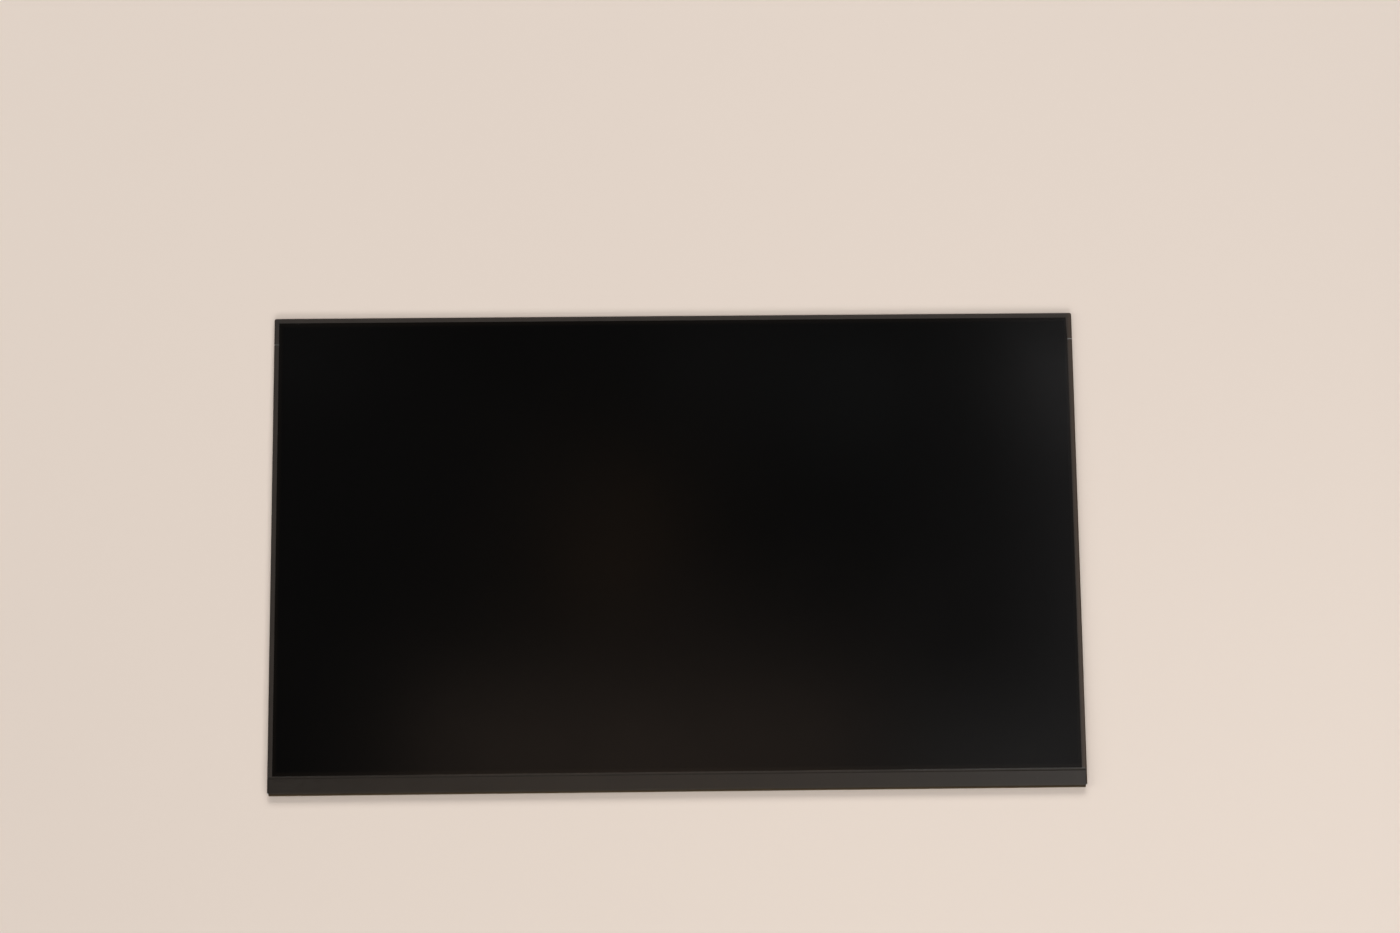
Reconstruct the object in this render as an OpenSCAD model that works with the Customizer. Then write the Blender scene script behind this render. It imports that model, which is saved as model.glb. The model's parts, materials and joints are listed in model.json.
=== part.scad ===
// A 15.6 inch laptop screen panel: an LCD cell on its backlight, in a folded metal tray, with the
// control board folded behind the bottom edge. It lies on its back as it comes to rest on a table:
// on the board's socket and on the tray's upper bead, so the face leans by a fraction of a degree.

/* [Picture] */
// Width of the picture area
active_w = 344.16; // [250:0.01:400]
// Height of the picture area
active_h = 193.59; // [150:0.01:240]
// How far the front polarizer reaches past the picture at each side
polarizer_side = 1.12; // [0.6:0.01:3]
// How far the front polarizer reaches past the picture above and below
polarizer_end = 1.405; // [1:0.005:3]

/* [Border] */
// Width of the taped border at each side
side_rim = 2.13; // [1.8:0.01:6]
// Width of the taped border along the top
top_rim = 2.1; // [1.8:0.01:6]
// Height of the black strip along the bottom
ledge_strip = 8.4; // [7.6:0.1:14]
// Radius of the border's outer edge, seen in section
edge_r = 0.55; // [0.3:0.01:0.8]
// Radius of the panel's corners, seen from the front
corner_r = 0.85; // [0.8:0.05:2]
// How far the top border tape reaches down each side
corner_leg = 11.5; // [5:0.5:30]
// How far the border tapes reach onto the back
rim_flap = 2.6; // [1:0.1:4]
// Joint between the top border tape and the side tapes
tape_joint = 0.25; // [0.1:0.05:1]
// Most that the right leg of the top tape laps onto the screen, at the corner
corner_lap = 0.5; // [0.2:0.05:1]

/* [Layers] */
// Metal of the back cover
cover_t = 0.25; // [0.15:0.01:0.5]
// Reflector sheet
reflector_t = 0.15; // [0.1:0.01:0.3]
// Light guide plate
guide_t = 0.5; // [0.3:0.05:0.8]
// Lower diffuser sheet
lower_diffuser_t = 0.12; // [0.06:0.01:0.2]
// Lower prism sheet
lower_prism_t = 0.13; // [0.06:0.01:0.25]
// Upper prism sheet
upper_prism_t = 0.13; // [0.06:0.01:0.25]
// Upper diffuser sheet
upper_diffuser_t = 0.12; // [0.06:0.01:0.2]
// Black adhesive frame under the cell
shield_tape_t = 0.1; // [0.05:0.01:0.2]
// Rear polarizer
rear_polarizer_t = 0.12; // [0.08:0.01:0.25]
// Array glass, the rear one of the cell
array_glass_t = 0.3; // [0.2:0.05:0.5]
// Colour filter glass, the front one of the cell
filter_glass_t = 0.3; // [0.2:0.05:0.5]
// Front polarizer with its anti-glare face
front_polarizer_t = 0.15; // [0.08:0.01:0.25]
// Border tape
rim_tape_t = 0.06; // [0.03:0.01:0.12]
// Strip tape along the bottom
ledge_tape_t = 0.06; // [0.03:0.01:0.12]

/* [Back cover] */
// Height of the tray's walls at the sides and top
cover_wall_h = 1.66; // [1:0.01:1.7]
// Height of the tray's wall along the bottom
bottom_wall_h = 1.2; // [0.6:0.05:1.3]
// Depth of the pressed stiffening beads
bead_d = 0.2; // [0.1:0.01:0.4]
// Width of a bead at the sheet
bead_w = 5; // [3:0.1:9]
// Distance of the bead ring from the tray's sides and top
bead_inset = 9; // [6:0.5:20]
// Distance from the board to the bead ring
bead_from_board = 9; // [8:0.5:20]
// Number of upright beads inside the ring
upright_bead_count = 2; // [1:1:5]
// Latch windows in each side wall
latch_count = 6; // [2:1:10]
// Length of a latch window
latch_l = 8; // [4:0.5:12]

/* [Backlight] */
// Distance from the picture to the lit edge of the light guide
light_run = 4.3; // [3.5:0.1:5]
// How far the light guide and its sheets reach past the picture
guide_margin = 1.2; // [0.8:0.05:1.5]
// Number of LEDs
led_count = 44; // [20:1:60]
// Length of one LED
led_l = 3.8; // [2:0.1:4.5]
// Depth of one LED, towards the light guide
led_depth = 0.9; // [0.6:0.05:1.1]
// Height of one LED
led_h = 0.55; // [0.4:0.05:0.6]
// Width of the LED strip's tail
tail_w = 5; // [3:0.5:8]
// Thickness of the LED strip's tail
tail_t = 0.1; // [0.06:0.01:0.12]

/* [Cell] */
// Depth of the array glass's ledge, past the colour filter glass
glass_ledge = 3.6; // [2.5:0.1:4]
// Number of driver films
film_count = 4; // [2:2:6]
// Share of the picture's width that the driver films serve
film_spread = 0.744; // [0.56:0.002:0.82]
// Width of a driver film
film_w = 36; // [20:1:40]
// Thickness of a driver film
film_t = 0.08; // [0.05:0.01:0.12]
// Length of a driver chip
driver_chip_l = 22; // [10:1:24]

/* [Control board] */
// How far the board reaches past the outer driver films
board_end = 11; // [3.5:0.5:36]
// Height of the board
board_h = 9.4; // [9.2:0.1:14]
// Thickness of the board
board_t = 0.4; // [0.3:0.05:0.6]
// Adhesive pad between the board and the cover
board_pad_t = 0.1; // [0.05:0.01:0.2]

/* [Display socket] */
// Number of contacts
contact_count = 30; // [20:2:40]
// Distance between contacts
contact_pitch = 0.5; // [0.4:0.1:0.5]
// Depth of the socket's body
socket_d = 3.7; // [3.4:0.1:4]
// Height of the socket above the board
socket_h = 1; // [0.9:0.05:1.3]
// Metal of the socket's shell
shell_t = 0.12; // [0.08:0.01:0.15]

/* [Hidden] */
$fn = 48;

// Running clearances
fit_gap = 0.05;
frame_gap = 0.25;
glass_gap = 0.3;
bar_gap = 0.2;
chip_slack = 0.15;
tail_slack = 0.1;
reach = 1;

// Heights, with the tray's flat rear face at zero and the screen on the plus side
z_reflector = cover_t;
z_guide = z_reflector + reflector_t;
z_lower_diffuser = z_guide + guide_t;
z_lower_prism = z_lower_diffuser + lower_diffuser_t;
z_upper_prism = z_lower_prism + lower_prism_t;
z_upper_diffuser = z_upper_prism + upper_prism_t;
z_shield = z_upper_diffuser + upper_diffuser_t;
z_rear_polarizer = z_shield + shield_tape_t;
z_array = z_rear_polarizer + rear_polarizer_t;
z_filter = z_array + array_glass_t;
z_border = z_filter + filter_glass_t;
z_face = z_border + front_polarizer_t;
z_board = -board_pad_t - board_t;
z_roof = z_guide + max(led_h, guide_t) + fit_gap;

// The driver films' turn round the bottom edge
film_r = (z_filter + film_t - (z_board - film_t)) / 2;
turn_z = z_filter + film_t - film_r;
strip_gap = 0.04;
strip_r = film_r + strip_gap + ledge_tape_t;
turn_y = strip_r;

// Places up the panel, with the bottom edge at zero
active_y0 = ledge_strip + polarizer_end;
active_y1 = active_y0 + active_h;
screen_y0 = ledge_strip;
screen_y1 = active_y1 + polarizer_end;
module_h = screen_y1 + top_rim;
filter_lap = 0.4;
filter_y0 = screen_y0 - filter_lap;
array_y0 = filter_y0 - glass_ledge;
cover_y0 = 0.75;
cover_y1 = module_h - rim_tape_t;
frame_y0 = cover_y0 + cover_t + fit_gap;
frame_y1 = cover_y1 - cover_t - fit_gap;
glass_y1 = cover_y1 - cover_t - glass_gap;
guide_y0 = active_y0 - light_run;
guide_y1 = active_y1 + guide_margin;
strip_margin = 0.3;
strip_y0 = guide_y0 - led_depth - strip_margin;
strip_lap = 1.5;
reflector_y0 = guide_y0 + strip_lap + fit_gap;
channel_y0 = strip_y0 - fit_gap;
roof_lap = 0.3;
roof_y1 = guide_y0 + roof_lap;
sheet_gap = 0.2;
sheet_y0 = roof_y1 + sheet_gap;
rear_polarizer_inset = 0.4;

// Half widths
screen_x = active_w / 2 + polarizer_side;
module_x = screen_x + side_rim;
cover_x = module_x - rim_tape_t;
frame_x = cover_x - cover_t - fit_gap;
frame_corner_r = corner_r - rim_tape_t - cover_t - fit_gap;
glass_x = cover_x - cover_t - glass_gap;
guide_x = active_w / 2 + guide_margin;
frame_in_x = guide_x + frame_gap;
frame_in_y1 = guide_y1 + frame_gap;
shield_inset = 0.2;
shield_window = 0.6;
shield_corner_r = 0.5;

// Latches that hold the frame in the tray's windows
latch_rise = 0.35;
latch_window_h = 0.6;
latch_hold = 0.2;
latch_z = cover_t + latch_rise + latch_window_h / 2;

// Tabs that hold the light guide and its sheets in the frame, as shares of the guide's height
tab_l = 5;
tab_d = 0.5;
tab_slack = 0.15;
tab_places = [0.3, 0.78];

// Board and what stands on it, placed across it in units that grow with the picture. The board is no
// shorter for two films than for four.
unit = active_w * film_spread / 4;
film_pitch = active_w * film_spread / film_count;
board_w = max(3 * unit, (film_count - 1) * film_pitch) + film_w + 2 * board_end;
board_step = 2;
shoulder_x = min(1.7 * unit, board_w / 2 - 2 * board_step);
film_bond = 1.9;
film_lap = 2.6;
film_end_y = turn_y + film_lap;
strip_bond = 0.2;
strip_end_y = film_end_y + strip_bond;
board_set_back = 0.3;
board_y0 = turn_y + board_set_back;
board_y1 = board_y0 + board_h;
socket_set_back = 0.4;
socket_y0 = strip_end_y + socket_set_back;
socket_x = -unit;
// Between two films of four or six, and outside the film of two
tail_x = (film_count == 4 ? 1 : 4 / 3) * unit;
socket_ends = 3.4;
socket_w = contact_count * contact_pitch + socket_ends;
contact_w = 0.2;
contact_t = 0.1;
contact_slack = 0.01;
contact_set_back = 0.6;
contact_foot = 0.8;
mouth_ends = 0.6;
mouth_d = 2.2;
mouth_h = 0.42;
mouth_z = 0.28;
blade_z = mouth_z + (mouth_h - contact_t) / 2;
chip_turn_gap = 0.55;
chip_pocket_y = turn_y + chip_turn_gap;
driver_chip_w = 1.2;
driver_chip_t = 0.3;
tail_r = (cover_t + tail_t - (z_board - tail_t)) / 2;
light_socket_y0 = socket_y0;
light_socket_w = tail_w + 2;
light_socket_d = 3.2;
light_socket_h = 0.9;
tail_grip = 1.8;
lever_side = 0.5;
lever_d = 1.1;
lever_z = 0.4;
pad_margin = 0.4;
first_row = 3.3;
row_rise = 2.45;
low_row = board_y0 + first_row;
middle_row = low_row + row_rise;
high_row = middle_row + row_rise;
timing_chip_w = 5.8;
power_chip_w = 4;
gamma_chip_w = 5;
memory_chip_w = 3;
chip_h = 0.75;
inductor_w = 4;
inductor_h = 0.9;
capacitor_l = 1.6;
capacitor_w = 0.8;
capacitor_pitch = 2.6;
resistor_l = 1;
resistor_w = 0.5;
resistor_h = 0.35;
resistor_pitch = 1.5;
ground_tape_w = 14;
ground_tape_t = 0.05;
ground_tape_lap = 1.5;
ground_tape_reach = 6;
ground_tape_x = [-shoulder_x + ground_tape_w / 2 + 0.4, -0.4 * unit, 1.29 * unit];

// Beads pressed out of the back cover
bead_slope = 0.6;
bead_r = 12;
upright_clear = 2.5 * bead_w;
bead_x = cover_x - bead_inset;
bead_y0 = board_y1 + bead_from_board;
bead_y1 = cover_y1 - bead_inset;

// Folds of the border tape, over the border's edge and round the tray's foot
edge_z = z_border + rim_tape_t - edge_r;
back_r = cover_t + rim_tape_t;

// How the panel lies: on the socket's far edge and on the upper bead or the tape over the upper edge
rest_z = z_board - socket_h;
rest_y = socket_y0 + socket_d;
rest_tilt = min(
    atan((-rest_z - bead_d) / (bead_y1 + bead_w / 2 - bead_slope - rest_y)),
    atan((-rest_z - rim_tape_t) / (module_h - back_r - rest_y))
);
low_y = turn_y * cos(rest_tilt) + turn_z * sin(rest_tilt) - turn_y;
high_y = (module_h - edge_r) * cos(rest_tilt) + edge_z * sin(rest_tilt) + edge_r;
lift = rest_y * sin(rest_tilt) - rest_z * cos(rest_tilt);

metal = [0.62, 0.63, 0.64];
tape_black = [0.13, 0.12, 0.115];

// Lays a piece down on the table, with the origin under the middle of the panel
module at_rest() {
    translate([0, -(low_y + high_y) / 2, lift]) rotate([-rest_tilt, 0, 0]) children();
}

// Rectangle with round corners, centred on the middle line
module rounded(x, y0, y1, r) {
    translate([-x + r, y0]) square([2 * (x - r), y1 - y0]);
    translate([-x, y0 + r]) square([2 * x, y1 - y0 - 2 * r]);
    for (side = [-1, 1], y = [y0 + r, y1 - r]) translate([side * (x - r), y]) circle(r);
}

// Flat sheet with round corners, from height z
module sheet(x, y0, y1, r, z, t) {
    translate([0, 0, z]) linear_extrude(t) rounded(x, y0, y1, r);
}

// Box from one corner to the opposite one
module span(low, high) {
    translate(low) cube(high - low);
}

// Section in the plane of up and through, drawn out across the panel
module across(w) {
    translate([-w / 2, 0, 0]) rotate([90, 0, 90]) linear_extrude(w) children();
}

// Section drawn outwards from the right edge, run up along it
module up_side(x, y0, y1) {
    translate([x, y1, 0]) rotate([90, 0, 0]) linear_extrude(y1 - y0) children();
}

// Section drawn outwards from an edge, run up both sides and over the top, with round corners
module over_top(x, y0, y1, r) {
    for (side = [0, 1]) mirror([side, 0, 0]) {
        up_side(x, y0, y1 - r) children();
        translate([x - r, y1 - r, 0]) rotate_extrude(angle = 90) translate([r, 0]) children();
    }
    translate([0, y1, 0]) across(2 * (x - r)) children();
}

// The same section run all round a rectangle with round corners
module around(x, y0, y1, r) {
    middle = (y0 + y1) / 2;
    over_top(x, middle, y1, r) children();
    translate([0, middle, 0]) mirror([0, 1, 0]) over_top(x, 0, middle - y0, r) children();
}

// Trapezoid section of a bead, from the sheet's face down
module bead_section(top_w, foot_w, z0, z1) {
    polygon([[-top_w / 2, z1], [top_w / 2, z1], [foot_w / 2, z0], [-foot_w / 2, z0]]);
}

// Straight bead with round ends, upright in the panel
module upright_bead(x, y0, y1, top_w, foot_w, z0, z1) {
    translate([x, y1, 0]) rotate([90, 0, 0]) linear_extrude(y1 - y0)
        bead_section(top_w, foot_w, z0, z1);
    for (y = [y0, y1]) translate([x, y, 0]) rotate_extrude() intersection() {
        bead_section(top_w, foot_w, z0, z1);
        translate([0, -reach]) square([top_w, 4 * reach]);
    }
}

// Every bead of the back cover, for the outside or for the hollow inside
module beads(shrink, z0, z1) {
    top_w = bead_w - shrink;
    foot_w = top_w - 2 * bead_slope;
    around(bead_x, bead_y0, bead_y1, bead_r) bead_section(top_w, foot_w, z0, z1);
    for (i = [1 : upright_bead_count])
        upright_bead(
            bead_x * (2 * i / (upright_bead_count + 1) - 1),
            bead_y0 + upright_clear, bead_y1 - upright_clear,
            top_w, foot_w, z0, z1
        );
}

// Middles of the latch windows up each side
function latch_y(i) = cover_y0 + (cover_y1 - cover_y0) * (i - 0.5) / latch_count;

module back_cover() {
    color(metal) difference() {
        union() {
            sheet(cover_x - cover_t, cover_y0 + cover_t, cover_y1 - cover_t,
                corner_r - rim_tape_t - cover_t, 0, cover_t);
            around(cover_x, cover_y0, cover_y1, corner_r - rim_tape_t) union() {
                translate([-cover_t, cover_t]) intersection() {
                    circle(cover_t);
                    translate([0, -cover_t]) square(cover_t);
                }
                translate([-cover_t, cover_t]) square([cover_t, cover_wall_h - cover_t]);
            }
            beads(0, -bead_d, fit_gap);
        }
        beads(2 * cover_t, cover_t - bead_d, cover_t + fit_gap);
        // The bottom wall is lower, under the driver films' turn
        span([-cover_x - reach, -reach, bottom_wall_h],
            [cover_x + reach, frame_y0, cover_wall_h + reach]);
        // Latch windows
        for (side = [-1, 1], i = [1 : latch_count])
            translate([side * cover_x, latch_y(i), latch_z])
                cube([reach, latch_l, latch_window_h], center = true);
        tail_slot(-reach, turn_y + tail_slack);
    }
}

module mould_frame() {
    color([0.1, 0.1, 0.1]) difference() {
        union() {
            sheet(frame_x, frame_y0, frame_y1, frame_corner_r, cover_t, z_shield - cover_t);
            // Bar under the driver films, up to the glass's height
            across(2 * (frame_x - frame_corner_r)) intersection() {
                translate([frame_y0, cover_t])
                    square([array_y0 - bar_gap - frame_y0, z_filter - cover_t]);
                union() {
                    translate([turn_y, turn_z]) circle(film_r - film_t - fit_gap);
                    translate([turn_y, 0]) square([array_y0, z_filter]);
                }
            }
            // Latches in the tray's windows
            for (side = [-1, 1], i = [1 : latch_count])
                translate([side * frame_x, latch_y(i), latch_z]) cube([
                    2 * (fit_gap + latch_hold), latch_l - 2 * latch_hold,
                    latch_window_h - 2 * fit_gap
                ], center = true);
        }
        // Opening for the light guide and its sheets
        span([-frame_in_x, roof_y1, 0], [frame_in_x, frame_in_y1, z_filter + reach]);
        // Channel for the LEDs, under the roof
        span([-frame_in_x, channel_y0, 0], [frame_in_x, roof_y1 + reach, z_roof]);
        // Pockets for the sheets' tabs
        for (side = [-1, 1], place = tab_places)
            translate([side * guide_x, guide_y0 + place * (guide_y1 - guide_y0), 0])
                cube([2 * (tab_d + tab_slack), tab_l + 2 * tab_slack, 4 * z_shield],
                    center = true);
        // Pockets for the driver chips
        for (i = [1 : film_count])
            translate([film_x(i), chip_pocket_y + driver_chip_w / 2, z_filter]) cube([
                driver_chip_l + 2 * chip_slack, driver_chip_w + 2 * chip_slack,
                2 * (driver_chip_t + chip_slack)
            ], center = true);
        tail_slot(-reach, channel_y0 + reach);
    }
}

// Slot that the LED strip's tail leaves through, low in the tray's wall and in the frame
module tail_slot(y0, y1) {
    side_slack = 3 * tail_slack;
    span([tail_x - tail_w / 2 - side_slack, y0, -reach],
        [tail_x + tail_w / 2 + side_slack, y1, cover_t + tail_t + tail_slack]);
}

// Outline of the light guide or of a sheet on it, with its holding tabs
module tabbed(y0) {
    translate([-guide_x, y0]) square([2 * guide_x, guide_y1 - y0]);
    for (side = [-1, 1], place = tab_places)
        translate([side * guide_x, guide_y0 + place * (guide_y1 - guide_y0)])
            square([2 * tab_d, tab_l], center = true);
}

module backlight_sheet(z, t) {
    translate([0, 0, z]) linear_extrude(t) tabbed(sheet_y0);
}

module reflector_sheet() {
    color("white") translate([0, 0, z_reflector]) linear_extrude(reflector_t)
        tabbed(reflector_y0);
}

module light_guide() {
    color([0.85, 0.92, 0.95]) translate([0, 0, z_guide]) linear_extrude(guide_t)
        tabbed(guide_y0);
}

module led_strip() {
    color([0.85, 0.7, 0.3]) union() {
        span([-frame_in_x + strip_margin, strip_y0, cover_t],
            [frame_in_x - strip_margin, guide_y0 + strip_lap, z_guide]);
        translate([tail_x, 0, 0]) across(tail_w) {
            translate([turn_y, cover_t]) square([strip_y0 + fit_gap - turn_y, tail_t]);
            translate([turn_y, cover_t + tail_t - tail_r]) half_turn(tail_r, tail_t);
            translate([turn_y, z_board - tail_t])
                square([light_socket_y0 + tail_grip - turn_y, tail_t]);
        }
    }
}

// Half ring that turns a film round the bottom edge, in section
module half_turn(r, t) {
    difference() {
        circle(r);
        circle(r - t);
        translate([0, -2 * r]) square(4 * r);
    }
}

module led_packages() {
    recess = 0.15;
    end_wall = 0.35;
    lip = 0.1;
    color([0.95, 0.93, 0.8]) for (i = [1 : led_count])
        translate([active_w * ((i - 0.5) / led_count - 0.5), guide_y0 - fit_gap, z_guide])
            difference() {
                translate([-led_l / 2, -led_depth, 0]) cube([led_l, led_depth, led_h]);
                translate([-led_l / 2 + end_wall, -recess, lip])
                    cube([led_l - 2 * end_wall, led_depth, led_h - 2 * lip]);
            }
}

module cell_adhesive_frame() {
    color([0.08, 0.08, 0.08]) translate([0, 0, z_shield]) linear_extrude(shield_tape_t)
        difference() {
            rounded(glass_x - shield_inset, array_y0 + shield_inset, glass_y1 - shield_inset,
                shield_corner_r);
            translate([-active_w / 2 - shield_window, active_y0 - shield_window])
                square([active_w + 2 * shield_window, active_h + 2 * shield_window]);
        }
}

module rear_polarizer() {
    color([0.16, 0.16, 0.18])
        span([-glass_x + rear_polarizer_inset, array_y0 + rear_polarizer_inset, z_rear_polarizer],
            [glass_x - rear_polarizer_inset, glass_y1 - rear_polarizer_inset, z_array]);
}

module array_glass() {
    color([0.35, 0.38, 0.38]) span([-glass_x, array_y0, z_array], [glass_x, glass_y1, z_filter]);
}

module color_filter_glass() {
    color([0.2, 0.22, 0.23]) span([-glass_x, filter_y0, z_filter], [glass_x, glass_y1, z_border]);
}

module front_polarizer() {
    color([0.05, 0.05, 0.05]) span([-screen_x, screen_y0, z_border], [screen_x, screen_y1, z_face]);
}

// Middle of driver film i
function film_x(i) = (i - (film_count + 1) / 2) * film_pitch;

// From the glass's ledge over the frame's bar, round the bottom edge and onto the board
module driver_film(i) {
    color([0.55, 0.4, 0.12]) translate([film_x(i), 0, 0]) across(film_w) {
        translate([turn_y, z_filter]) square([array_y0 + film_bond - turn_y, film_t]);
        translate([turn_y, turn_z]) half_turn(film_r, film_t);
        translate([turn_y, z_board - film_t]) square([film_lap, film_t]);
    }
}

module driver_chips() {
    color([0.2, 0.2, 0.22]) for (i = [1 : film_count])
        span([film_x(i) - driver_chip_l / 2, chip_pocket_y, z_filter - driver_chip_t],
            [film_x(i) + driver_chip_l / 2, chip_pocket_y + driver_chip_w, z_filter]);
}

// Black tape from the screen's lower edge over the ledge and round the bottom. Its middle goes onto
// the board and its two ends go onto the tray.
module ledge_cover_tape() {
    low_z = turn_z + strip_r - ledge_tape_t;
    step_gap = 0.3;
    step_y = filter_y0 - step_gap;
    slope = 0.5;
    end_gap = 0.08;
    half_w = module_x - edge_r - end_gap;
    middle_w = board_w / 2 + board_set_back;
    // Where the inside of the turn meets the tray's rear face, less a third of the tape
    end_y = turn_y - sqrt(pow(strip_r - ledge_tape_t, 2) - pow(turn_z, 2)) - ledge_tape_t / 3;
    color(tape_black) union() {
        difference() {
            across(2 * half_w) {
                intersection() {
                    translate([turn_y, turn_z]) half_turn(strip_r, ledge_tape_t);
                    translate([0, -ledge_tape_t]) square(2 * strip_r);
                }
                translate([end_y, -ledge_tape_t]) square([strip_end_y - end_y, ledge_tape_t]);
                translate([turn_y, low_z]) square([step_y - slope - turn_y, ledge_tape_t]);
                polygon([
                    [step_y - slope, low_z], [step_y, z_border],
                    [step_y, z_border + ledge_tape_t], [step_y - slope, low_z + ledge_tape_t]
                ]);
                translate([step_y, z_border])
                    square([screen_y0 - fit_gap - step_y, ledge_tape_t]);
            }
            across(2 * middle_w) translate([0, -2 * ledge_tape_t])
                square([strip_end_y + reach, 3 * ledge_tape_t]);
        }
        across(2 * middle_w) {
            translate([turn_y, turn_z]) half_turn(strip_r, ledge_tape_t);
            translate([turn_y, turn_z - strip_r]) square([strip_end_y - turn_y, ledge_tape_t]);
        }
    }
}

// Quarter of a thin ring
module quarter_ring(r, t) {
    intersection() {
        difference() {
            circle(r);
            circle(r - t);
        }
        square(r);
    }
}

// Section of the border tape's fold: over the border's edge, down the tray's wall and round its foot
module tape_fold() {
    translate([-edge_r, edge_z]) quarter_ring(edge_r, rim_tape_t);
    translate([-rim_tape_t, cover_t]) square([rim_tape_t, edge_z - cover_t]);
    translate([-back_r, cover_t]) mirror([0, 1]) quarter_ring(back_r, rim_tape_t);
}

// Flat part of the top tape at height z, from its fold of radius r in to half width x and height y1
module top_flat(r, x, y1, z, leg_y) {
    translate([0, 0, z]) linear_extrude(rim_tape_t) difference() {
        rounded(module_x - r, leg_y - reach, module_h - r, corner_r - r);
        translate([-x, leg_y - 2 * reach]) square([2 * x, y1 + 2 * reach - leg_y]);
        translate([-module_x, leg_y - 2 * reach]) square([2 * module_x, 2 * reach]);
    }
}

// From the top border down both sides, with a lap onto the screen that narrows down the right leg
module top_rim_tape() {
    leg_y = module_h - corner_leg;
    flat_x = screen_x + fit_gap;
    step_t = 0.1;
    color(tape_black) union() {
        over_top(module_x, leg_y, module_h, corner_r) tape_fold();
        top_flat(edge_r, flat_x, screen_y1 + fit_gap, z_border, leg_y);
        top_flat(back_r, module_x - rim_flap, module_h - rim_flap, -rim_tape_t, leg_y);
        translate([0, 0, z_face]) linear_extrude(rim_tape_t) polygon([
            [flat_x + step_t, screen_y1], [screen_x - corner_lap, screen_y1],
            [flat_x - step_t, leg_y], [flat_x + step_t, leg_y]
        ]);
        span([flat_x, leg_y, z_border], [flat_x + step_t, screen_y1, z_face + rim_tape_t]);
    }
}

// A side tape is flat on the border above the strip and on the tray above the strip's end, and only
// its fold runs on beside them
module side_rim_tape() {
    top_y = module_h - corner_leg - tape_joint;
    color(tape_black) union() {
        up_side(module_x, turn_y, top_y) tape_fold();
        up_side(module_x, ledge_strip, top_y) translate([screen_x + fit_gap - module_x, z_border])
            square([side_rim - fit_gap - edge_r, rim_tape_t]);
        up_side(module_x, strip_end_y + tape_joint, top_y) translate([-rim_flap, -rim_tape_t])
            square([rim_flap - back_r, rim_tape_t]);
    }
}

module left_rim_tape() {
    mirror([1, 0, 0]) side_rim_tape();
}

module right_rim_tape() {
    side_rim_tape();
}

// Outline of the board, shrunk by a margin all round
module board_outline(margin) {
    x = board_w / 2 - margin;
    y0 = board_y0 + margin;
    y1 = board_y1 - margin;
    chamfer = 0.6;
    low_x = shoulder_x + board_step - margin;
    high_x = shoulder_x - margin;
    polygon([
        [-x, y0 + chamfer], [-x + chamfer, y0], [x - chamfer, y0], [x, y0 + chamfer],
        [x, y1 - board_step], [low_x, y1 - board_step], [high_x, y1],
        [-high_x, y1], [-low_x, y1 - board_step], [-x, y1 - board_step]
    ]);
}

module board_pad() {
    color([0.75, 0.73, 0.68]) translate([0, 0, -board_pad_t]) linear_extrude(board_pad_t)
        board_outline(pad_margin);
}

module control_board() {
    notch = [3, 1.6];
    notch_places = [-0.17, 0.27];
    color([0.05, 0.22, 0.12]) translate([0, 0, z_board]) linear_extrude(board_t) difference() {
        board_outline(0);
        // Jig notches in the upper edge
        for (place = notch_places) translate([place * board_w, board_y1])
            square(notch, center = true);
    }
}

// Puts a piece on the board's face, with plus z away from the board
module on_board(x, y) {
    translate([x, y, z_board]) mirror([0, 0, 1]) children();
}

// Moulded chip with a thin base
module chip(l, w, h) {
    base_t = 0.15;
    inset = 0.08;
    color([0.12, 0.12, 0.13]) union() {
        translate([-l / 2, -w / 2, 0]) cube([l, w, base_t]);
        translate([-l / 2 + inset, -w / 2 + inset, 0]) cube([l - 2 * inset, w - 2 * inset, h]);
    }
}

module timing_controller() {
    on_board(0, middle_row) chip(timing_chip_w, timing_chip_w, chip_h);
}

module power_chip() {
    on_board(-0.6 * unit, middle_row) chip(power_chip_w, power_chip_w, chip_h);
}

module backlight_driver_chip() {
    on_board(0.78 * unit, middle_row) chip(power_chip_w, power_chip_w, chip_h);
}

module gamma_chip() {
    on_board(-1.3 * unit, middle_row) chip(gamma_chip_w, 0.6 * gamma_chip_w, chip_h);
}

module memory_chip() {
    on_board(0.2 * unit, middle_row) chip(memory_chip_w, 0.65 * memory_chip_w, 0.8 * chip_h);
}

// Drum between two square flanges
module inductor(w, h) {
    flange_t = 0.22 * h;
    translate([-w / 2, -w / 2, 0]) cube([w, w, flange_t]);
    cylinder(h = h, d = 0.84 * w);
    translate([-w / 2, -w / 2, h - flange_t]) cube([w, w, flange_t]);
}

module inductors() {
    color([0.25, 0.24, 0.24]) union() {
        on_board(0.66 * unit, middle_row) inductor(inductor_w, inductor_h);
        on_board(-0.49 * unit, middle_row) inductor(0.8 * inductor_w, inductor_h);
        on_board(-0.7 * unit, middle_row) inductor(0.65 * inductor_w, inductor_h);
    }
}

// Small two-ended part with metal end caps
module chip_part(l, w, h) {
    cap = 0.2 * l;
    inset = 0.04 * w;
    translate([-l / 2 + cap / 2, -w / 2 + inset, inset]) cube([l - cap, w - 2 * inset, h - 2 * inset]);
    for (side = [-1, 1]) translate([side * (l - cap) / 2 - cap / 2, -w / 2, 0]) cube([cap, w, h]);
}

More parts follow.
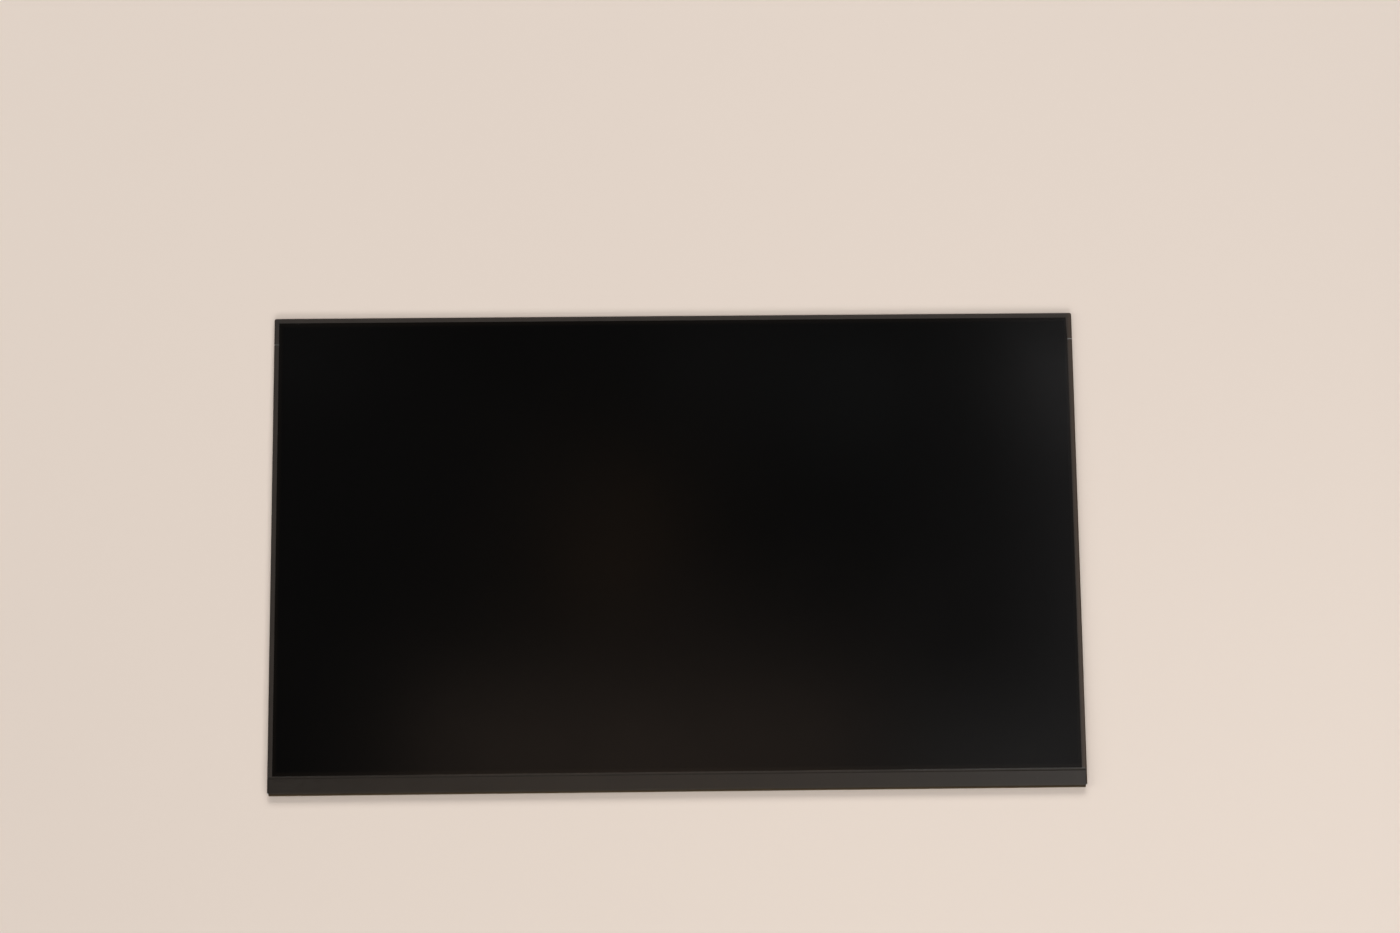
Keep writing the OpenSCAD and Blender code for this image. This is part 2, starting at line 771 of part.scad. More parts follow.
// Rows of small parts: where the row starts across the board, how many, and at what height
left_end = -board_w / 2 / unit;
capacitor_rows = [
    [left_end + 0.1, 3, low_row], [-0.75, 3, low_row], [-0.22, 2, low_row], [0.375, 4, low_row],
    [0.72, 3, low_row], [1.16, 3, low_row], [1.56, 3, low_row], [-0.41, 4, middle_row],
    [-1.36, 3, high_row], [-0.22, 3, high_row], [0.1, 3, high_row], [0.47, 3, high_row],
    [1.47, 3, high_row]
];
resistor_rows = [
    [-0.59, 5, low_row], [0.11, 4, low_row], [1.41, 4, low_row],
    [left_end + 0.14, 5, middle_row], [1.16, 4, middle_row],
    [-1.2, 3, high_row], [0.25, 4, high_row], [0.66, 4, high_row]
];

module part_rows(rows, pitch, l, w, h) {
    for (row = rows, i = [0 : row[1] - 1])
        on_board(row[0] * unit + i * pitch, row[2]) chip_part(l, w, h);
}

module capacitors() {
    color([0.62, 0.5, 0.36])
        part_rows(capacitor_rows, capacitor_pitch, capacitor_l, capacitor_w, capacitor_w);
}

module resistors() {
    color([0.1, 0.1, 0.1]) part_rows(resistor_rows, resistor_pitch, resistor_l, resistor_w, resistor_h);
}

module display_socket_body() {
    w = socket_w - 2 * shell_t;
    h = socket_h - shell_t;
    mouth_w = contact_count * contact_pitch + mouth_ends;
    color([0.92, 0.9, 0.84]) on_board(socket_x, socket_y0) difference() {
        translate([-w / 2, 0, 0]) cube([w, socket_d, h]);
        translate([-mouth_w / 2, -reach, mouth_z]) cube([mouth_w, mouth_d + reach, mouth_h]);
        contact_row(contact_slack);
    }
}

// Middle of each contact across the socket
function contact_x(i) = (i - (contact_count + 1) / 2) * contact_pitch;

// Blades of the contacts, or the slots they pass through with a clearance
module contact_row(slack) {
    for (i = [1 : contact_count])
        translate([contact_x(i) - contact_w / 2 - slack, contact_set_back, blade_z - slack]) cube([
            contact_w + 2 * slack, socket_d - contact_set_back + slack, contact_t + 2 * slack
        ]);
}

module display_socket_contacts() {
    color([0.85, 0.7, 0.3]) on_board(socket_x, socket_y0) union() {
        contact_row(0);
        for (i = [1 : contact_count]) translate([contact_x(i) - contact_w / 2, socket_d, 0]) {
            cube([contact_w, contact_t, blade_z + contact_t]);
            cube([contact_w, contact_foot, contact_t]);
        }
    }
}

module display_socket_shell() {
    window = [2.2, 0.7];
    window_places = [-0.3, 0, 0.3];
    foot = [0.9, 1.1];
    foot_inset = 0.2;
    wall_x = socket_w / 2 - shell_t;
    color([0.78, 0.78, 0.76]) on_board(socket_x, socket_y0) difference() {
        union() {
            translate([-socket_w / 2, 0, socket_h - shell_t]) cube([socket_w, socket_d, shell_t]);
            for (side = [0, 1]) mirror([side, 0, 0]) {
                translate([wall_x, 0, 0]) cube([shell_t, socket_d, socket_h]);
                for (y = [foot_inset, socket_d - foot_inset - foot[1]])
                    translate([wall_x, y, 0]) cube([shell_t + foot[0], foot[1], shell_t]);
            }
        }
        for (place = window_places)
            translate([place * socket_w, socket_d * 0.45, socket_h])
                cube([window[0], window[1], 4 * shell_t], center = true);
    }
}

module backlight_socket() {
    color([0.92, 0.9, 0.84]) on_board(tail_x, light_socket_y0) difference() {
        translate([-light_socket_w / 2, 0, 0]) cube([light_socket_w, light_socket_d, light_socket_h]);
        translate([-tail_w / 2 - tail_slack, -reach, -reach])
            cube([tail_w + 2 * tail_slack, tail_grip + reach + fit_gap, reach + tail_t + fit_gap]);
        translate([-light_socket_w / 2 + lever_side, light_socket_d - lever_d, lever_z])
            cube([light_socket_w - 2 * lever_side, lever_d + reach, light_socket_h]);
    }
}

module backlight_socket_latch() {
    color([0.15, 0.13, 0.12]) on_board(tail_x, light_socket_y0)
        translate([-light_socket_w / 2 + lever_side + fit_gap, light_socket_d - lever_d + fit_gap, lever_z])
            cube([light_socket_w - 2 * (lever_side + fit_gap), lever_d, light_socket_h - lever_z]);
}

// Conductive tape from the board's ground onto the back cover
module ground_tape(i) {
    lap_y = board_y1 - ground_tape_lap;
    edge_y = board_y1 + fit_gap;
    foot_y = edge_y - z_board;
    color([0.72, 0.72, 0.74]) translate([ground_tape_x[i - 1], 0, 0])
        across(ground_tape_w) polygon([
            [lap_y, z_board], [edge_y, z_board], [foot_y, 0], [foot_y + ground_tape_reach, 0],
            [foot_y + ground_tape_reach, -ground_tape_t], [foot_y, -ground_tape_t],
            [edge_y, z_board - ground_tape_t], [lap_y, z_board - ground_tape_t]
        ]);
}

at_rest() back_cover();
at_rest() mould_frame();
at_rest() reflector_sheet();
at_rest() light_guide();
at_rest() led_strip();
at_rest() led_packages();
at_rest() color("white") backlight_sheet(z_lower_diffuser, lower_diffuser_t);  // lower_diffuser
at_rest() color([0.8, 0.85, 0.88]) backlight_sheet(z_lower_prism, lower_prism_t);  // lower_prism_sheet
at_rest() color([0.8, 0.85, 0.88]) backlight_sheet(z_upper_prism, upper_prism_t);  // upper_prism_sheet
at_rest() color("white") backlight_sheet(z_upper_diffuser, upper_diffuser_t);  // upper_diffuser
at_rest() cell_adhesive_frame();
at_rest() rear_polarizer();
at_rest() array_glass();
at_rest() color_filter_glass();
at_rest() front_polarizer();
at_rest() driver_chips();
at_rest() ledge_cover_tape();
at_rest() top_rim_tape();
at_rest() left_rim_tape();
at_rest() right_rim_tape();
at_rest() board_pad();
at_rest() control_board();
at_rest() timing_controller();
at_rest() power_chip();
at_rest() backlight_driver_chip();
at_rest() gamma_chip();
at_rest() memory_chip();
at_rest() inductors();
at_rest() capacitors();
at_rest() resistors();
at_rest() display_socket_shell();
at_rest() display_socket_body();
at_rest() display_socket_contacts();
at_rest() backlight_socket();
at_rest() backlight_socket_latch();
for (i = [1 : film_count])
    at_rest() driver_film(i);
for (i = [1 : 3])
    at_rest() ground_tape(i);
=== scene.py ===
"""Looks of a laptop screen panel: a material for every CAD node, the board's copper and print, a stage."""
import json
import math
import random

import bmesh
import bpy
from mathutils import Euler, Matrix, Vector


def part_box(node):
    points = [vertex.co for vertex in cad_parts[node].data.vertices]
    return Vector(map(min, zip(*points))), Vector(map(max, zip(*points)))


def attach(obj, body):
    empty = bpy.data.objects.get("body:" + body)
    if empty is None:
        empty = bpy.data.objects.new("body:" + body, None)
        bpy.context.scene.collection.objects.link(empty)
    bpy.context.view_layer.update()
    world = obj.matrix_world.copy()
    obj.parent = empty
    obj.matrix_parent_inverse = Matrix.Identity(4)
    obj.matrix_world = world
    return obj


MM = 0.001

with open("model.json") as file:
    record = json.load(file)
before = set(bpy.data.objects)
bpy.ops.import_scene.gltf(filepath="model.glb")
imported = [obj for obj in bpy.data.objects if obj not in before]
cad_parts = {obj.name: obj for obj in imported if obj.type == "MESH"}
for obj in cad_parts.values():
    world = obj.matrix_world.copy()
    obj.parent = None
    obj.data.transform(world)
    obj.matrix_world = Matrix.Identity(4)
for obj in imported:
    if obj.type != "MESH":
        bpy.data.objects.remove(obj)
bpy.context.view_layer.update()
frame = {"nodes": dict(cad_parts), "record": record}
nodes = frame["nodes"]
scene = bpy.context.scene
scene.view_settings.view_transform = "Standard"


class Tree:
    """A material under a Principled shader, with short names for the nodes that drive it."""

    def __init__(self, name, roughness=0.5, metallic=0.0, specular=0.5):
        self.material = bpy.data.materials.new(name)
        self.material.use_nodes = True
        self.tree = self.material.node_tree
        self.shader = self.tree.nodes["Principled BSDF"]
        self.set("Roughness", roughness)
        self.set("Metallic", metallic)
        self.set("Specular IOR Level", specular)
        self.coords = self.new("ShaderNodeTexCoord")
        self.place = self.coords.outputs["Object"]

    def new(self, kind, **values):
        node = self.tree.nodes.new(kind)
        for key, value in values.items():
            setattr(node, key, value)
        return node

    def put(self, node, key, value):
        """A socket takes a link where it is given an output, and otherwise a constant."""
        if isinstance(value, bpy.types.NodeSocket):
            self.tree.links.new(value, node.inputs[key])
        else:
            node.inputs[key].default_value = value

    def set(self, key, value):
        self.put(self.shader, key, value)

    def stretched(self, x, y, z):
        """Place in the part's frame, scaled apart along each axis."""
        node = self.new("ShaderNodeMapping")
        self.put(node, "Vector", self.place)
        self.put(node, "Scale", (x, y, z))
        return node.outputs["Vector"]

    def noise(self, scale, detail, place=None):
        node = self.new("ShaderNodeTexNoise")
        self.put(node, "Vector", place or self.place)
        self.put(node, "Scale", scale)
        self.put(node, "Detail", detail)
        return node.outputs["Fac"]

    def cells(self, scale, place=None):
        node = self.new("ShaderNodeTexVoronoi")
        self.put(node, "Vector", place or self.place)
        self.put(node, "Scale", scale)
        return node.outputs["Distance"]

    def bands(self, direction, scale):
        node = self.new("ShaderNodeTexWave", wave_type="BANDS", bands_direction=direction)
        self.put(node, "Vector", self.place)
        self.put(node, "Scale", scale)
        return node.outputs["Fac"]

    def fit(self, value, low, high, to_low=0.0, to_high=1.0):
        """A value taken from one range to another, and held at its ends."""
        node = self.new("ShaderNodeMapRange")
        self.put(node, "Value", value)
        self.put(node, "From Min", low)
        self.put(node, "From Max", high)
        self.put(node, "To Min", to_low)
        self.put(node, "To Max", to_high)
        return node.outputs["Result"]

    def maths(self, kind, a, b=0.0):
        node = self.new("ShaderNodeMath", operation=kind)
        self.put(node, 0, a)
        self.put(node, 1, b)
        return node.outputs[0]

    def mix(self, share, a, b):
        node = self.new("ShaderNodeMix", data_type="RGBA")
        self.put(node, "Factor", share)
        for key, value in ((6, a), (7, b)):
            self.put(node, key, value if isinstance(value, bpy.types.NodeSocket) else (*value, 1.0))
        return node.outputs[2]

    def axis(self, letter, source=None):
        node = self.new("ShaderNodeSeparateXYZ")
        self.put(node, 0, source or self.place)
        return node.outputs[letter]

    def bump(self, height, distance, strength):
        node = self.new("ShaderNodeBump")
        self.put(node, "Height", height)
        self.put(node, "Distance", distance)
        self.put(node, "Strength", strength)
        self.set("Normal", node.outputs["Normal"])


# The face's border outside the picture area, and how far its edge is softened to each side, a painted glare
# spreading from the border
FACE_BORDER_X = 1.12 * MM
FACE_BORDER_Y = 1.405 * MM
FACE_GLARE_BLUR = 0.9 * MM
# Length of one band of the wave texture at scale 1, in metres
WAVE_LENGTH = 0.314

# The two tapes' shades on their front, on their fold (thin brown print, partly painted warm bounce light)
# and at the fold's outer edge, where painted reflected light lightens it further; and the places on an
# axis, in millimetres, between which a fold goes over to that shade
STRIP_FRONT = (0.0105, 0.0080, 0.0055)
BORDER_FRONT = (0.0160, 0.0115, 0.0085)
STRIP_FOLD = (0.042, 0.0340, 0.0170)
BORDER_FOLD = (0.034, 0.0230, 0.0150)
STRIP_LIT_FOLD = (0.075, 0.050, 0.021)
BORDER_LIT_FOLD = (0.080, 0.050, 0.030)
# The lightened edge runs along the strip's bottom and only along the border's right side: painted light
# from below and from the right
STRIP_EDGE = ("Y", -101.6, -102.8)
BORDER_EDGE = ("X", 172.8, 174.0)
# Share of the lightened fold shade, which is painted reflected light, that reaches round onto the front
LIT_FOLD_FRONT = 0.3


def screen_face():
    """Anti-glare film over the dark cell: the picture area is a shade darker than the border round it, with
    painted glare at the edge.
    """
    t = Tree("screen_face", roughness=0.21, specular=0.1)
    low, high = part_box("front_polarizer")
    half_x = high.x - FACE_BORDER_X
    middle_y = (low.y + high.y) / 2
    half_y = (high.y - low.y) / 2 - FACE_BORDER_Y
    across = t.maths("ABSOLUTE", t.axis("X"))
    up = t.maths("ABSOLUTE", t.maths("SUBTRACT", t.axis("Y"), middle_y))
    # Painted glare: the border's lighter shade is blurred across its edge into the picture area
    outside = t.maths(
        "MAXIMUM",
        t.fit(across, half_x - FACE_GLARE_BLUR, half_x + FACE_GLARE_BLUR),
        t.fit(up, half_y - FACE_GLARE_BLUR, half_y + FACE_GLARE_BLUR),
    )
    cloud = t.fit(t.noise(5.0, 2.0), 0.35, 0.65)
    picture = t.mix(cloud, (0.0018, 0.0018, 0.0018), (0.0022, 0.0021, 0.0021))
    grain = t.fit(t.noise(5200.0, 1.0), 0.3, 0.7, 0.82, 1.18)
    shade = t.mix(outside, picture, (0.0044, 0.0036, 0.0030))
    scaled = t.new("ShaderNodeMix", data_type="RGBA", blend_type="MULTIPLY")
    t.put(scaled, "Factor", 1.0)
    t.put(scaled, 6, shade)
    t.put(scaled, 7, grain)
    t.set("Base Color", scaled.outputs[2])
    t.set("Roughness", t.fit(t.noise(14.0, 3.0), 0.3, 0.7, 0.19, 0.23))
    t.bump(t.noise(9000.0, 1.0), 0.004 * MM, 0.5)
    return t.material


def tape(name, front, fold, lit_fold, edge, roughness, specular):
    """Matte black tape with a fine grain, brown over its fold from thin print and painted bounce light,
    lighter toward the outer edge.
    """
    t = Tree(name, roughness=roughness, specular=specular)
    letter, start, end = edge
    outer = t.fit(t.axis(letter), start * MM, end * MM)
    upward = t.axis("Z", t.coords.outputs["Normal"])
    turned = t.fit(upward, 0.93, 0.6)
    mottle = t.fit(t.noise(90.0, 4.0), 0.3, 0.7)
    flat = t.mix(mottle, tuple(c * 0.9 for c in front), tuple(c * 1.12 for c in front))
    # Painted light: the fold's shade, and near the outer edge some of it on the front, stands in for warm
    # light reflected onto the tape
    share = t.maths("MAXIMUM", turned, t.maths("MULTIPLY", outer, LIT_FOLD_FRONT))
    body = t.mix(t.maths("MULTIPLY", share, t.fit(upward, -0.05, 0.3)), flat, t.mix(outer, fold, lit_fold))
    speck = t.fit(t.cells(420.0), 0.05, 0.035)
    t.set("Base Color", t.mix(t.maths("MULTIPLY", speck, 0.35), body, (0.16, 0.15, 0.14)))
    t.set("Specular IOR Level", t.fit(upward, 0.94, 0.99, 0.08, specular))
    t.set("Roughness", t.fit(t.noise(700.0, 2.0), 0.3, 0.7, roughness - 0.05, roughness + 0.06))
    t.bump(t.noise(3200.0, 3.0), 0.012 * MM, 0.45)
    return t.material


def sheet_metal(name, light, dark, along, roughness, grain=0.35):
    """Rolled sheet: fine streaks along one axis, and dull patches."""
    t = Tree(name, roughness=roughness, metallic=1.0)
    stretch = (40.0, 2600.0, 2600.0) if along == "X" else (2600.0, 40.0, 2600.0)
    streak = t.noise(1.0, 3.0, t.stretched(*stretch))
    dull = t.fit(t.noise(22.0, 4.0), 0.35, 0.7)
    shade = t.mix(t.fit(streak, 0.3, 0.7), dark, light)
    t.set("Base Color", t.mix(t.maths("MULTIPLY", dull, 0.3), shade, tuple(c * 0.82 for c in light)))
    rough = t.maths("ADD", t.fit(streak, 0.3, 0.7, roughness - 0.06, roughness + 0.06),
                    t.maths("MULTIPLY", dull, 0.09))
    t.set("Roughness", rough)
    t.bump(streak, 0.01 * MM, grain)
    return t.material


def plastic(name, colour, roughness, grain=900.0, depth=0.01, vary=0.1):
    """Moulded plastic: a slow change of shade and a fine spark-eroded grain."""
    t = Tree(name, roughness=roughness)
    cloud = t.fit(t.noise(130.0, 3.0), 0.3, 0.7)
    low = tuple(c * (1 - vary) for c in colour)
    high = tuple(min(1.0, c * (1 + vary)) for c in colour)
    t.set("Base Color", t.mix(cloud, low, high))
    t.set("Roughness", t.fit(t.noise(grain, 2.0), 0.3, 0.7, roughness - 0.05, roughness + 0.05))
    t.bump(t.noise(grain * 2.5, 2.0), depth * MM, 0.4)
    return t.material


def film(name, colour, roughness, ribs=None, transmission=0.0, dots=None):
    """Optical film or plate: ribs run along the panel, dots sit on the light guide's rear face."""
    t = Tree(name, roughness=roughness)
    cloud = t.fit(t.noise(18.0, 2.0), 0.3, 0.7)
    shade = t.mix(cloud, tuple(c * 0.95 for c in colour), colour)
    height = t.noise(2400.0, 1.0)
    if ribs:
        height = t.bands("Y", ribs)
    if dots:
        height = t.fit(t.cells(dots), 0.35, 0.25)
        shade = t.mix(height, shade, (0.97, 0.97, 0.97))
    t.set("Base Color", shade)
    t.set("Transmission Weight", transmission)
    t.bump(height, 0.01 * MM, 0.4)
    return t.material


def circuit_film(name, body, copper, pitch):
    """Amber film with bundles of fine copper lines that run up and down, and gaps between the bundles."""
    t = Tree(name, roughness=0.32)
    line = t.fit(t.bands("X", WAVE_LENGTH / pitch), 0.45, 0.6)
    lane = t.fit(t.noise(1.0, 1.0, t.stretched(160.0, 4.0, 4.0)), 0.46, 0.5)
    share = t.maths("MULTIPLY", line, lane)
    t.set("Base Color", t.mix(share, body, copper))
    t.set("Roughness", t.fit(share, 0.0, 1.0, 0.34, 0.26))
    t.bump(share, 0.01 * MM, 0.6)
    return t.material


def circuit_board():
    """Solder mask over copper: wide pours, trace bundles and small plated holes show through the green."""
    t = Tree("circuit_board", roughness=0.34)
    mask = (0.006, 0.050, 0.024)
    pour = (0.010, 0.078, 0.036)
    trace = (0.020, 0.115, 0.052)
    area = t.fit(t.cells(150.0, t.stretched(1.0, 2.2, 1.0)), 0.30, 0.33)
    body = t.mix(area, mask, pour)
    brick = t.new("ShaderNodeTexBrick", offset=0.37, squash=0.6, squash_frequency=3)
    t.put(brick, "Vector", t.place)
    t.put(brick, "Scale", 210.0)
    t.put(brick, "Mortar Size", 0.035)
    t.put(brick, "Brick Width", 2.3)
    t.put(brick, "Row Height", 0.21)
    body = t.mix(t.maths("MULTIPLY", brick.outputs["Fac"], 0.8), body, trace)
    hole = t.fit(t.cells(520.0), 0.16, 0.12)
    few = t.fit(t.noise(110.0, 1.0), 0.52, 0.56)
    plated = t.maths("MULTIPLY", hole, few)
    t.set("Base Color", t.mix(plated, body, (0.62, 0.44, 0.16)))
    t.set("Metallic", plated)
    t.set("Roughness", t.fit(t.noise(300.0, 2.0), 0.3, 0.7, 0.28, 0.4))
    t.bump(t.maths("ADD", brick.outputs["Fac"], plated), 0.012 * MM, 0.5)
    return t.material


def end_capped(name, body, roughness):
    """Ceramic body of a small two-ended part. Its tinned ends are among the pieces that are made here."""
    t = Tree(name, roughness=roughness)
    cloud = t.fit(t.noise(600.0, 3.0), 0.3, 0.7)
    t.set("Base Color", t.mix(cloud, tuple(c * 0.8 for c in body), body))
    t.bump(t.noise(2600.0, 2.0), 0.006 * MM, 0.4)
    return t.material


def cell_glass():
    """The two glass plates of the cell, with a faint change of shade."""
    t = Tree("cell_glass", roughness=0.06)
    depth = t.fit(t.noise(9.0, 2.0), 0.3, 0.7)
    t.set("Base Color", t.mix(depth, (0.30, 0.36, 0.35), (0.38, 0.44, 0.43)))
    t.set("Transmission Weight", 0.6)
    t.set("IOR", 1.5)
    t.bump(t.noise(40.0, 1.0), 0.002 * MM, 0.2)
    return t.material


looks = {
    "screen_face": screen_face(),
    "strip_tape": tape("strip_tape", STRIP_FRONT, STRIP_FOLD, STRIP_LIT_FOLD, STRIP_EDGE, 0.4, 0.44),
    "border_tape": tape("border_tape", BORDER_FRONT, BORDER_FOLD, BORDER_LIT_FOLD, BORDER_EDGE, 0.48, 0.42),
    "cell_glass": cell_glass(),
    "rear_polarizer": film("rear_polarizer", (0.05, 0.05, 0.055), 0.2),
    "shield_tape": plastic("shield_tape", (0.018, 0.018, 0.018), 0.6),
    "diffuser_film": film("diffuser_film", (0.85, 0.85, 0.84), 0.55),
    "prism_film": film("prism_film", (0.75, 0.78, 0.8), 0.2, ribs=6000.0),
    "light_guide": film("light_guide", (0.8, 0.85, 0.87), 0.08, transmission=0.5, dots=900.0),
    "reflector": film("reflector", (0.9, 0.9, 0.9), 0.4),
    "flex_circuit": circuit_film("flex_circuit", (0.50, 0.27, 0.05), (0.62, 0.36, 0.10), 0.7 * MM),
    "led_body": plastic("led_body", (0.82, 0.78, 0.60), 0.4),
    "frame_plastic": plastic("frame_plastic", (0.02, 0.02, 0.02), 0.5),
    "cover_metal": sheet_metal("cover_metal", (0.62, 0.63, 0.64), (0.50, 0.51, 0.52), "X", 0.36),
    "driver_film": circuit_film("driver_film", (0.20, 0.085, 0.012), (0.42, 0.22, 0.05), 0.22 * MM),
    "silicon": plastic("silicon", (0.09, 0.09, 0.11), 0.16, vary=0.05),
    "adhesive_pad": plastic("adhesive_pad", (0.62, 0.60, 0.54), 0.7),
    "circuit_board": circuit_board(),
    "chip_resin": plastic("chip_resin", (0.026, 0.026, 0.028), 0.55, grain=2400.0),
    "ferrite": plastic("ferrite", (0.075, 0.07, 0.066), 0.45, grain=1600.0, depth=0.02),
    "capacitor_ceramic": end_capped("capacitor_ceramic", (0.40, 0.27, 0.15), 0.42),
    "resistor_ceramic": end_capped("resistor_ceramic", (0.03, 0.03, 0.03), 0.35),
    "socket_shell": sheet_metal("socket_shell", (0.74, 0.73, 0.70), (0.62, 0.61, 0.58), "X", 0.28),
    "socket_plastic": plastic("socket_plastic", (0.74, 0.68, 0.54), 0.45),
    "contact_metal": sheet_metal("contact_metal", (0.83, 0.62, 0.25), (0.72, 0.52, 0.2), "Y", 0.22),
    "latch_plastic": plastic("latch_plastic", (0.04, 0.034, 0.03), 0.45),
    "ground_tape": sheet_metal("ground_tape", (0.72, 0.72, 0.73), (0.6, 0.6, 0.61), "Y", 0.3, grain=0.8),
}
# The finish of pieces that are made here
made = {
    "trace": plastic("board_trace", (0.018, 0.110, 0.050), 0.3, grain=500.0, vary=0.15),
    "solder": sheet_metal("solder", (0.66, 0.66, 0.65), (0.54, 0.54, 0.54), "X", 0.26),
    "gold": sheet_metal("gold_plating", (0.80, 0.58, 0.24), (0.70, 0.50, 0.20), "X", 0.24),
    "print": plastic("board_print", (0.66, 0.66, 0.62), 0.6, grain=1500.0),
}
slots = {row["node"]: row["material_slot"] for row in frame["record"]["subparts"]}
for name, node in nodes.items():
    if not node.material_slots:
        node.data.materials.append(None)
    for place in node.material_slots:
        place.link = "OBJECT"
        place.material = looks[slots[name]]


# The panel's own frame in millimetres, x to the right and y up from its bottom edge, as it lies at rest
REST_Y = -103.4559
REST_Z = 1.55626
LEAN = 0.389049
PANEL = (
    Matrix.Translation((0, REST_Y * MM, REST_Z * MM))
    @ Matrix.Rotation(-math.radians(LEAN), 4, "X")
    @ Matrix.Scale(MM, 4)
)
# The board's outer face. Places along the board are counted in UNIT, and all else in millimetres
BOARD_FACE = -0.5
UNIT = 64.01376
HALF_BOARD = 125.02
LOW_ROW, MIDDLE_ROW, HIGH_ROW = 4.99, 7.44, 9.89
LEFT_END = -HALF_BOARD / UNIT
# Where each group starts along the board, how many parts it has, and its row
CAPACITORS = [
    (LEFT_END + 0.1, 3, LOW_ROW), (-0.75, 3, LOW_ROW), (-0.22, 2, LOW_ROW), (0.375, 4, LOW_ROW),
    (0.72, 3, LOW_ROW), (1.16, 3, LOW_ROW), (1.56, 3, LOW_ROW), (-0.41, 4, MIDDLE_ROW),
    (-1.36, 3, HIGH_ROW), (-0.22, 3, HIGH_ROW), (0.1, 3, HIGH_ROW), (0.47, 3, HIGH_ROW),
    (1.47, 3, HIGH_ROW),
]
RESISTORS = [
    (-0.59, 5, LOW_ROW), (0.11, 4, LOW_ROW), (1.41, 4, LOW_ROW),
    (LEFT_END + 0.14, 5, MIDDLE_ROW), (1.16, 4, MIDDLE_ROW),
    (-1.2, 3, HIGH_ROW), (0.25, 4, HIGH_ROW), (0.66, 4, HIGH_ROW),
]
# Place, length and width of each chip, and place and width of each coil
CHIPS = [(0.0, 5.8, 5.8), (-0.6, 4.0, 4.0), (0.78, 4.0, 4.0), (-1.3, 5.0, 3.0), (0.2, 3.0, 1.95)]
COILS = [(0.66, 4.0), (-0.49, 3.2), (-0.7, 2.6)]
# Pitch of the small parts, and their length, width and height
CAPACITOR_PITCH = 2.6
RESISTOR_PITCH = 1.5
CAPACITOR_SIZE = (1.6, 0.8, 0.8)
RESISTOR_SIZE = (1.0, 0.5, 0.35)
# Middle, half length, foot and head of each socket
DISPLAY_SOCKET = (-UNIT, 10.7, 4.2, 9.75)
BACKLIGHT_SOCKET = (UNIT, 4.3, 4.2, 8.3)
CONTACTS = 30
CONTACT_PITCH = 0.5
# Ground tapes, jig notches and the board's stepped ends, all up to its head: middles, half length and foot
BOARD_HEAD = 12.0
GROUND_TAPES = (-101.42, -25.6, 82.58)
GROUND_TAPE_HALF, GROUND_TAPE_FOOT = 7.3, 9.4
NOTCHES = (-42.5, 67.5)
NOTCH_HALF, NOTCH_FOOT = 2.0, 9.9
STEP_X, STEP_HALF, STEP_FOOT = 119.0, 11.0, 8.9
# Traces: the lanes between the rows, how far along the board they go, and how their ends are spread
TRACE_W = 0.1
LANES = 5
LANE_PITCH = 0.21
LOW_LANES = [5.78 + LANE_PITCH * k for k in range(LANES)]
HIGH_LANES = [8.26 + LANE_PITCH * k for k in range(LANES)]
RUN_END = 122.0
SHORTEST_RUN = 3.0
LANE_MARGIN = 0.4
LANE_STAGGER = 0.35
LANE_SPREAD = 0.8
SHORTEST_TRACE = 2.5
TRACE_LENGTHS = (6.0, 26.0)
TRACE_GAPS = (0.6, 2.5)
# Radius of a via, a test pad and a first pin's dot, and the sides that each is drawn with
VIA_R, VIA_SIDES = 0.1, 10
TEST_PAD_R, TEST_PAD_SIDES = 0.42, 18
PIN_DOT_R, PIN_DOT_SIDES = 0.14, 12
# Chip pads: pitch, half width, reach in under the chip and out from it, and the places of their vias
PAD_PITCH, PAD_HALF = 0.5, 0.13
PAD_UNDER, PAD_OUT = 0.1, 0.38
FAN_REACH, FAN_STAGGER = 0.75, 0.22
# Coil pads: how far they reach in and out, and their half width as a share of the coil's
COIL_UNDER, COIL_OUT, COIL_SHARE = 0.1, 0.45, 0.3
# Feet of the display socket's contacts, and where their vias are
FOOT_HALF, FOOT_LOW, FOOT_HIGH = 0.14, 9.14, 9.4
FOOT_VIA, FOOT_STAGGER = 0.25, 0.2
# Test pads: margins in a run, the share of places that get one, and the steps between places
TEST_START, TEST_END, TEST_SHARE, TEST_STEPS = 1.4, 1.2, 0.55, (1.8, 5.0)
# Heights over the board's face
COPPER_H = 0.016
PAD_H = 0.03
VIA_H = 0.8 * PAD_H
PRINT_H = 0.024
# Print: half the width of a corner mark's line, and half the width and length of the bars between parts
PRINT_HALF = 0.05
BAR_HALF = 0.04
CAPACITOR_BAR, RESISTOR_BAR = 0.372, 0.252
# Middle, height on the board and half sizes of the corner marks round the two sockets
SOCKET_MARKS = [(UNIT, 6.19, 3.9, 1.85), (-UNIT, 6.6, 10.5, 2.2)]
# Small parts: the tin round their ends, and how far their pads reach out to the sides
TIN_T = 0.012
PAD_SIDE = 0.06
# How far to each side a trace keeps clear of small parts, chips and coils, along the board and across it
PART_CLEAR = (0.3, 0.1)
CHIP_CLEAR = (1.3, 0.5)
COIL_CLEAR = (0.5, 0.2)


def small_parts():
    """Middle, length, width and height of every capacitor and resistor."""
    kinds = ((CAPACITORS, CAPACITOR_PITCH, *CAPACITOR_SIZE), (RESISTORS, RESISTOR_PITCH, *RESISTOR_SIZE))
    for rows, pitch, length, width, height in kinds:
        for start, count, y in rows:
            for i in range(count):
                yield start * UNIT + i * pitch, y, length, width, height


